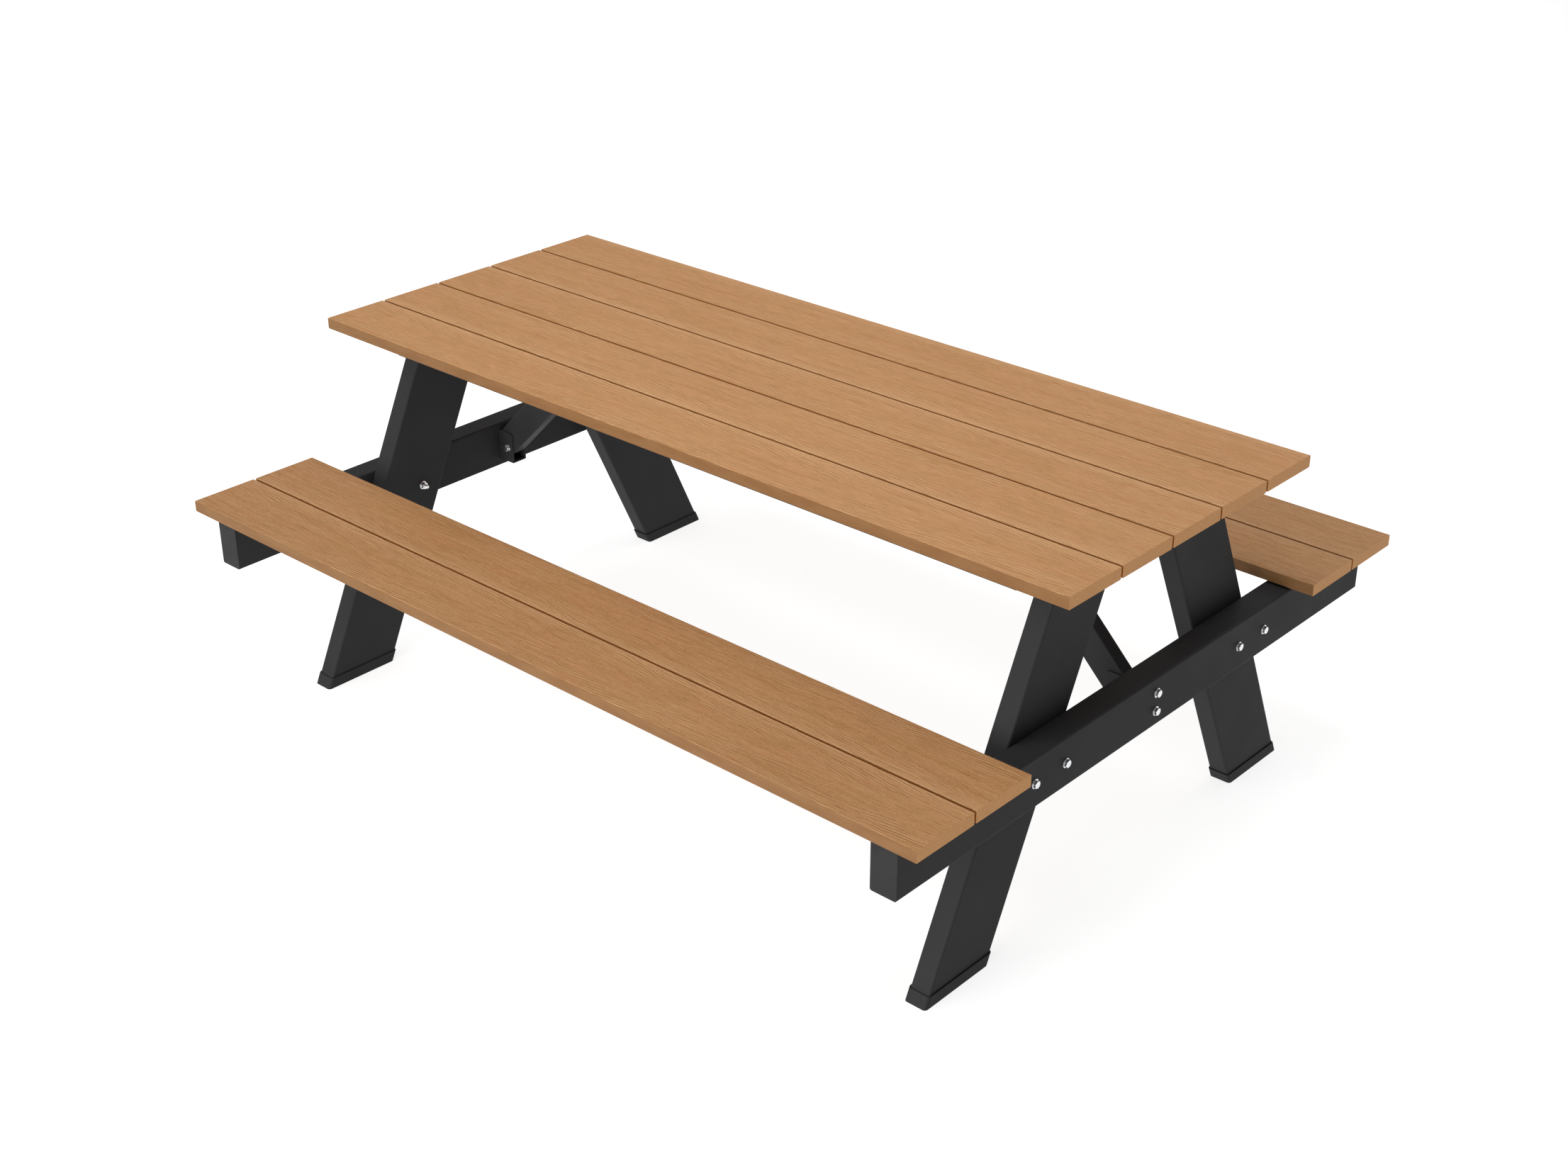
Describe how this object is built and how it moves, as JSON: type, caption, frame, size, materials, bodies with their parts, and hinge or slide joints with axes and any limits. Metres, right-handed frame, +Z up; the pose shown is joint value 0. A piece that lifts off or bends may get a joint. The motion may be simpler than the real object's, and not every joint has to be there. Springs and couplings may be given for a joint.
{
  "type": "picnic table",
  "caption": "Rectangular picnic table with a plank top and two fixed plank benches on two splayed steel leg frames with diagonal braces.",
  "frame": {"origin": "on the floor, under the middle of the tabletop", "axes": "+X along the planks towards the right-hand frame, +Y across the table towards the back bench, +Z up"},
  "size_m": [1.829, 1.4414, 0.73],
  "materials": {
    "planks": "honey-tan wood-grain deck boards, matt, eased long edges",
    "steel": "satin charcoal powder coat",
    "plastic": "moulded near-black plastic",
    "zinc": "bright zinc plating"
  },
  "bodies": {
    "root": {"top_plank_1": "planks", "top_plank_2": "planks", "top_plank_3": "planks", "top_plank_4": "planks", "top_plank_5": "planks", "front_bench_outer_plank": "planks", "front_bench_inner_plank": "planks", "back_bench_inner_plank": "planks", "back_bench_outer_plank": "planks", "left_front_leg": "steel", "left_back_leg": "steel", "right_front_leg": "steel", "right_back_leg": "steel", "left_front_foot_cap": "plastic", "left_back_foot_cap": "plastic", "right_front_foot_cap": "plastic", "right_back_foot_cap": "plastic", "left_bench_beam": "steel", "right_bench_beam": "steel", "left_beam_front_cap": "plastic", "left_beam_back_cap": "plastic", "right_beam_front_cap": "plastic", "right_beam_back_cap": "plastic", "front_top_rail": "steel", "back_top_rail": "steel", "left_end_bearer": "steel", "right_end_bearer": "steel", "left_brace_bearer": "steel", "right_brace_bearer": "steel", "centre_bearer": "steel", "front_bench_outer_rail": "steel", "front_bench_inner_rail": "steel", "back_bench_inner_rail": "steel", "back_bench_outer_rail": "steel", "left_brace": "steel", "right_brace": "steel", "left_brace_shoe": "steel", "right_brace_shoe": "steel", "left_leg_bolts": "zinc", "left_leg_washers": "zinc", "left_leg_nuts": "zinc", "right_leg_bolts": "zinc", "right_leg_washers": "zinc", "right_leg_nuts": "zinc", "shoe_bolts": "zinc", "shoe_washers": "zinc", "shoe_nuts": "zinc", "brace_bolts": "zinc", "brace_washers": "zinc", "brace_nuts": "zinc", "top_joint_bolts": "zinc", "top_joint_washers": "zinc", "top_joint_nuts": "zinc", "bench_rail_screws": "zinc", "top_plank_screws": "zinc", "bench_plank_screws": "zinc"}
  },
  "joints": []
}
